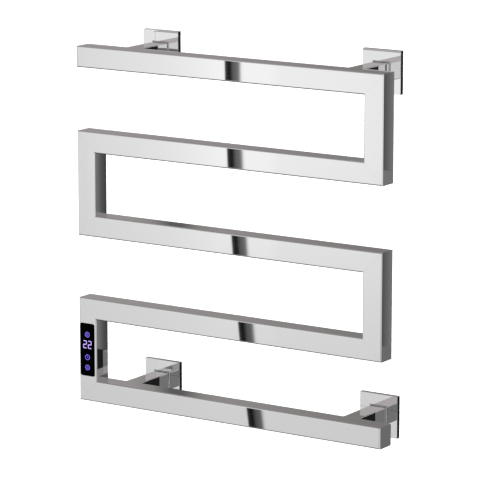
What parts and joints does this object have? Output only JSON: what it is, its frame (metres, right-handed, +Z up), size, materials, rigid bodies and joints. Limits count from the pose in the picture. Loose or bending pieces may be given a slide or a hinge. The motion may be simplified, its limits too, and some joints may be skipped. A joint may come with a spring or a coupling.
{
  "type": "towel warmer rack",
  "caption": "Wall-hung electric towel warmer: a serpentine of polished square tube on square wall brackets, with a glass touch panel set into the lower left riser.",
  "frame": {"origin": "on the wall plane, midway between the four wall fixings", "axes": "+X to the right as one faces the rack, +Y into the wall, +Z up"},
  "size_m": [0.5, 0.1163, 0.54],
  "materials": {
    "polished_steel": "mirror polished stainless steel",
    "plain_steel": "plain zinc plated or stainless steel",
    "black_steel": "blackened steel",
    "black_rubber": "matte black rubber",
    "black_glass": "gloss black back-printed glass",
    "grey_plastic": "matte grey plastic",
    "black_plastic": "matte black plastic",
    "circuit_board": "green solder mask",
    "red_silicone": "silicone sheath",
    "white_plastic": "white nylon"
  },
  "bodies": {
    "wall_sockets": {"wall_socket_top_left": "plain_steel", "wall_socket_top_right": "plain_steel", "wall_socket_bottom_left": "plain_steel", "wall_socket_bottom_right": "plain_steel", "cable_grommet": "black_rubber"},
    "rack": {"bar_tube_1": "polished_steel", "bar_tube_2": "polished_steel", "bar_tube_3": "polished_steel", "bar_tube_4": "polished_steel", "bar_tube_5": "polished_steel", "riser_tube_1": "polished_steel", "riser_tube_2": "polished_steel", "riser_tube_3": "polished_steel", "riser_tube_4": "polished_steel", "end_cap_top": "polished_steel", "end_cap_bottom": "polished_steel", "bracket_arm_top_left": "polished_steel", "grub_screw_top_left": "black_steel", "bracket_arm_top_right": "polished_steel", "grub_screw_top_right": "black_steel", "bracket_arm_bottom_left": "polished_steel", "grub_screw_bottom_left": "black_steel", "bracket_arm_bottom_right": "polished_steel", "grub_screw_bottom_right": "black_steel", "touch_glass": "black_glass", "glass_gasket": "black_rubber", "control_housing": "black_plastic", "control_board": "circuit_board", "digit_display": "black_plastic", "board_screw_upper": "plain_steel", "board_screw_lower": "plain_steel", "touch_spring_1": "plain_steel", "touch_spring_2": "plain_steel", "touch_spring_3": "plain_steel", "relay": "black_plastic", "capacitor": "plain_steel", "board_connector": "white_plastic", "heating_cable_upper": "red_silicone", "heating_cable_lower": "red_silicone", "cable_end_seal_upper": "grey_plastic", "cable_end_seal_lower": "grey_plastic", "supply_lead": "black_rubber", "control_lead": "black_rubber", "terminal_block": "white_plastic", "thermal_fuse": "plain_steel", "temperature_sensor": "black_plastic", "earth_stud": "plain_steel", "earth_nut": "plain_steel"},
    "rosette_top_left": {"rosette_top_left": "polished_steel", "rosette_collar_top_left": "polished_steel"},
    "rosette_top_right": {"rosette_top_right": "polished_steel", "rosette_collar_top_right": "polished_steel"},
    "rosette_bottom_left": {"rosette_bottom_left": "polished_steel", "rosette_collar_bottom_left": "polished_steel"},
    "rosette_bottom_right": {"rosette_bottom_right": "polished_steel", "rosette_collar_bottom_right": "polished_steel"}
  },
  "joints": [
    {"name": "rack_pull_off", "type": "slide", "parent": "wall_sockets", "child": "rack", "axis": [0, -1, 0], "range_m": [0, 0.032]},
    {"name": "rosette_top_left_slide", "type": "slide", "parent": "rack", "child": "rosette_top_left", "axis": [0, -1, 0], "range_m": [0, 0.078]},
    {"name": "rosette_top_right_slide", "type": "slide", "parent": "rack", "child": "rosette_top_right", "axis": [0, -1, 0], "range_m": [0, 0.078]},
    {"name": "rosette_bottom_left_slide", "type": "slide", "parent": "rack", "child": "rosette_bottom_left", "axis": [0, -1, 0], "range_m": [0, 0.078]},
    {"name": "rosette_bottom_right_slide", "type": "slide", "parent": "rack", "child": "rosette_bottom_right", "axis": [0, -1, 0], "range_m": [0, 0.078]}
  ]
}
